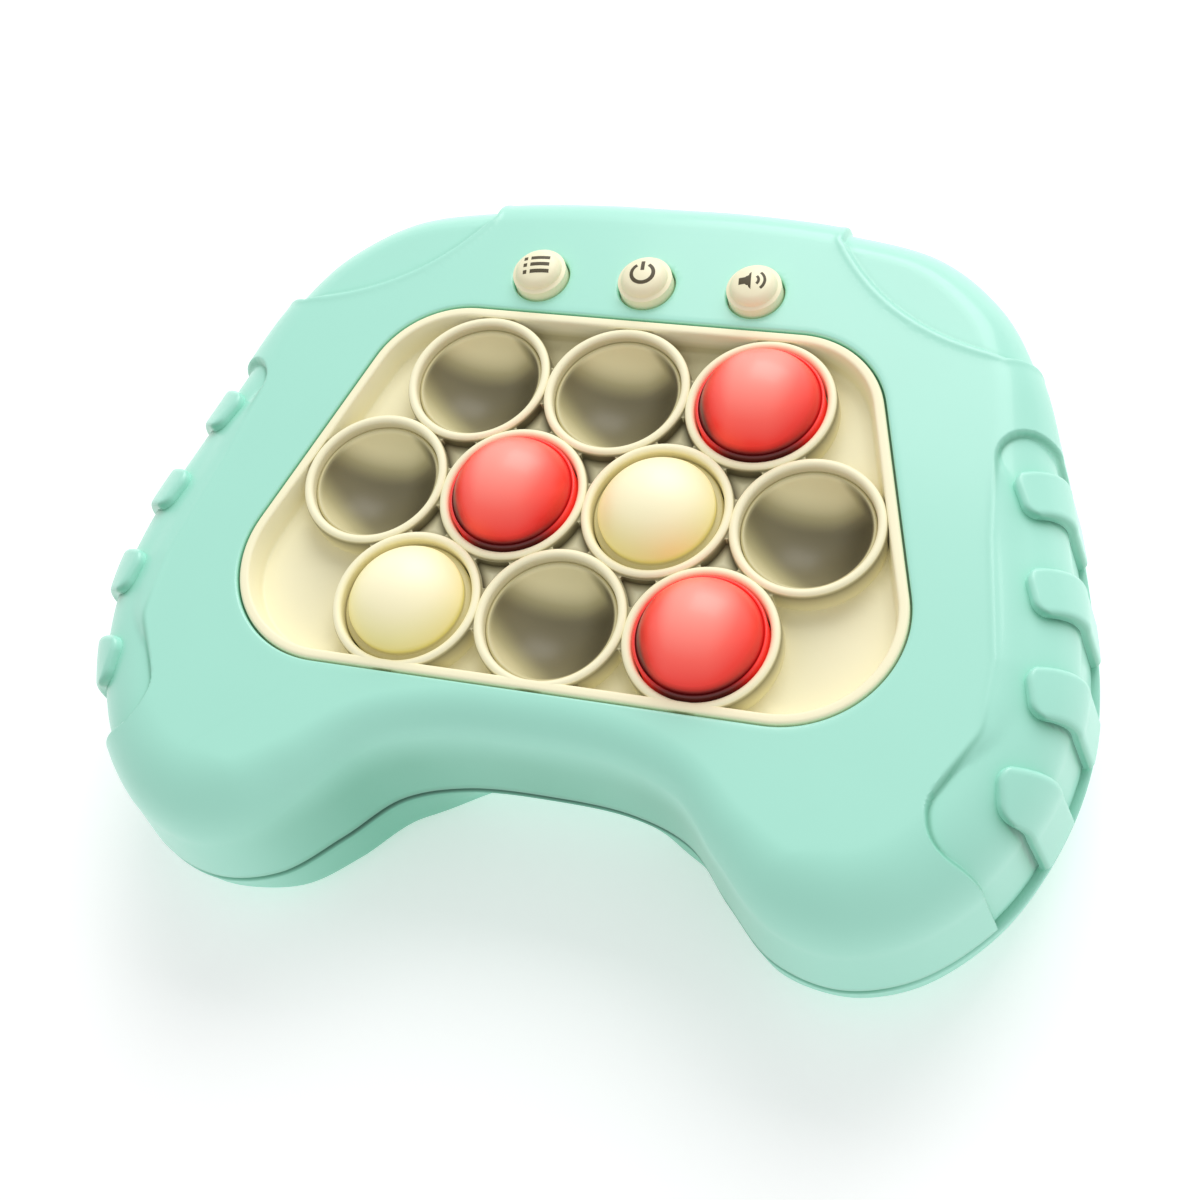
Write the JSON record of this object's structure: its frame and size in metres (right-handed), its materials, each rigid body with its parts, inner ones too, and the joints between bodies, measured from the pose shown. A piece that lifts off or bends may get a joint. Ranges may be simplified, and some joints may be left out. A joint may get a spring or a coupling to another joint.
{
  "type": "electronic push bubble game",
  "caption": "Handheld game in a controller-shaped case: lit silicone bubbles in a window are pushed in and pop back, with menu, power and volume buttons and a battery bay behind.",
  "frame": {"origin": "centre of the case in plan, at the height of the flat back that it lies on", "axes": "+X towards the right handle seen from the front, +Y towards the row of three buttons, +Z out of the face"},
  "size_m": [0.1636, 0.126, 0.043],
  "materials": {
    "case": "satin moulded mint",
    "mat": "smooth cream silicone",
    "red_bubble": "glossy red silicone",
    "cream_bubble": "glossy cream silicone, yellow towards the bottom",
    "olive_bubble": "glossy olive silicone",
    "button": "satin cream with printed dark symbols",
    "frame": "plain moulded",
    "board": "green lacquered board",
    "dark": "plain moulded",
    "lens": "clear lamp body",
    "steel": "zinc-plated",
    "cell": "plain film round a metal can"
  },
  "bodies": {
    "case": {"front_shell": "case", "rear_shell": "case", "bubble_mat": "mat", "mat_clamp_frame": "frame", "main_board": "board", "switch_top_1": "dark", "switch_top_2": "dark", "switch_top_3": "dark", "switch_middle_1": "dark", "switch_middle_2": "dark", "switch_middle_3": "dark", "switch_middle_4": "dark", "switch_bottom_1": "dark", "switch_bottom_2": "dark", "switch_bottom_3": "dark", "lamp_top_1": "lens", "lamp_top_2": "lens", "lamp_top_3": "lens", "lamp_middle_1": "lens", "lamp_middle_2": "lens", "lamp_middle_3": "lens", "lamp_middle_4": "lens", "lamp_bottom_1": "lens", "lamp_bottom_2": "lens", "lamp_bottom_3": "lens", "menu_switch": "dark", "power_switch": "dark", "volume_switch": "dark", "speaker": "dark", "battery_cell_1": "cell", "battery_cell_2": "cell", "battery_cell_3": "cell", "battery_contact_left": "steel", "battery_contact_right": "steel", "case_screw_1": "steel", "case_screw_2": "steel", "case_screw_3": "steel", "case_screw_4": "steel", "case_screw_5": "steel", "case_screw_6": "steel"},
    "bubble_top_1": {"bubble_top_1": "olive_bubble"},
    "bubble_top_2": {"bubble_top_2": "olive_bubble"},
    "bubble_top_3": {"bubble_top_3": "red_bubble"},
    "bubble_middle_1": {"bubble_middle_1": "olive_bubble"},
    "bubble_middle_2": {"bubble_middle_2": "red_bubble"},
    "bubble_middle_3": {"bubble_middle_3": "cream_bubble"},
    "bubble_middle_4": {"bubble_middle_4": "olive_bubble"},
    "bubble_bottom_1": {"bubble_bottom_1": "cream_bubble"},
    "bubble_bottom_2": {"bubble_bottom_2": "olive_bubble"},
    "bubble_bottom_3": {"bubble_bottom_3": "red_bubble"},
    "menu_button": {"menu_button": "button"},
    "power_button": {"power_button": "button"},
    "volume_button": {"volume_button": "button"},
    "battery_door": {"battery_door": "case", "battery_door_screw": "steel"}
  },
  "joints": [
    {"name": "bubble_top_1_push", "type": "slide", "parent": "case", "child": "bubble_top_1", "axis": [0, 0, 1], "range_m": [0, 0.008]},
    {"name": "bubble_top_2_push", "type": "slide", "parent": "case", "child": "bubble_top_2", "axis": [0, 0, 1], "range_m": [0, 0.008]},
    {"name": "bubble_top_3_push", "type": "slide", "parent": "case", "child": "bubble_top_3", "axis": [0, 0, 1], "range_m": [-0.008, 0]},
    {"name": "bubble_middle_1_push", "type": "slide", "parent": "case", "child": "bubble_middle_1", "axis": [0, 0, 1], "range_m": [0, 0.008]},
    {"name": "bubble_middle_2_push", "type": "slide", "parent": "case", "child": "bubble_middle_2", "axis": [0, 0, 1], "range_m": [-0.008, 0]},
    {"name": "bubble_middle_3_push", "type": "slide", "parent": "case", "child": "bubble_middle_3", "axis": [0, 0, 1], "range_m": [-0.008, 0]},
    {"name": "bubble_middle_4_push", "type": "slide", "parent": "case", "child": "bubble_middle_4", "axis": [0, 0, 1], "range_m": [0, 0.008]},
    {"name": "bubble_bottom_1_push", "type": "slide", "parent": "case", "child": "bubble_bottom_1", "axis": [0, 0, 1], "range_m": [-0.008, 0]},
    {"name": "bubble_bottom_2_push", "type": "slide", "parent": "case", "child": "bubble_bottom_2", "axis": [0, 0, 1], "range_m": [0, 0.008]},
    {"name": "bubble_bottom_3_push", "type": "slide", "parent": "case", "child": "bubble_bottom_3", "axis": [0, 0, 1], "range_m": [-0.008, 0]},
    {"name": "menu_button_press", "type": "slide", "parent": "case", "child": "menu_button", "axis": [0, 0, 1], "range_m": [-0.0008, 0], "stiffness_N_per_m": 300, "springref_m": 0.0003},
    {"name": "power_button_press", "type": "slide", "parent": "case", "child": "power_button", "axis": [0, 0, 1], "range_m": [-0.0008, 0], "stiffness_N_per_m": 300, "springref_m": 0.0003},
    {"name": "volume_button_press", "type": "slide", "parent": "case", "child": "volume_button", "axis": [0, 0, 1], "range_m": [-0.0008, 0], "stiffness_N_per_m": 300, "springref_m": 0.0003},
    {"name": "battery_door_hinge", "type": "hinge", "parent": "case", "child": "battery_door", "pos_m": [-0.027, 0.002, 0.0003], "axis": [0, 1, 0], "range_deg": [0, 30]}
  ]
}
